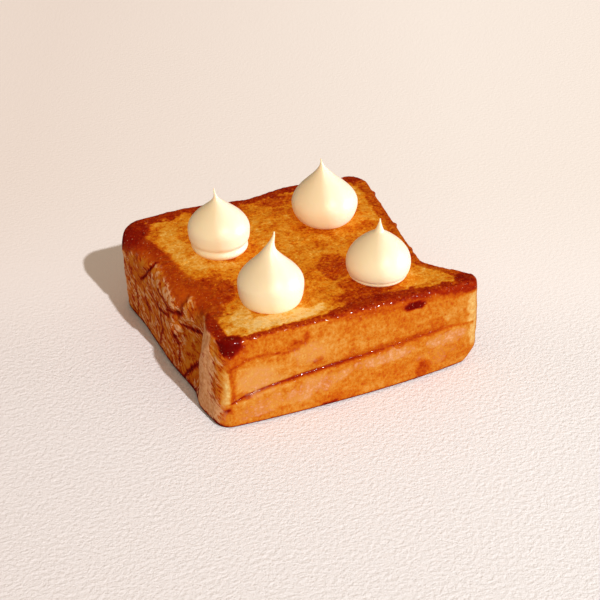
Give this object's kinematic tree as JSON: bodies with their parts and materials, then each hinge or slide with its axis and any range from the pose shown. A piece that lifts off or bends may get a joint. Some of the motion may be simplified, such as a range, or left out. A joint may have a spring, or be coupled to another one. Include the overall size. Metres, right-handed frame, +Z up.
{
  "type": "honey toast",
  "caption": "Thick slice of tin loaf, fried and glazed with honey, lying flat with pointed dollops of piped whipped cream near its corners.",
  "frame": {"origin": "middle of the part's box at the level of the cut face that the slice lies on", "axes": "+Z up through the slice's thickness; +X along the creased crown crust, which faces -Y"},
  "size_m": [0.1251, 0.117, 0.0705],
  "materials": {
    "toast": "golden brown bread crust and crumb with a sticky honey glaze",
    "cream": "smooth satin ivory whipped cream"
  },
  "bodies": {
    "root": {"toast": "toast", "cream_front_left": "cream", "cream_front_right": "cream", "cream_back_left": "cream", "cream_back_right": "cream"}
  },
  "joints": []
}
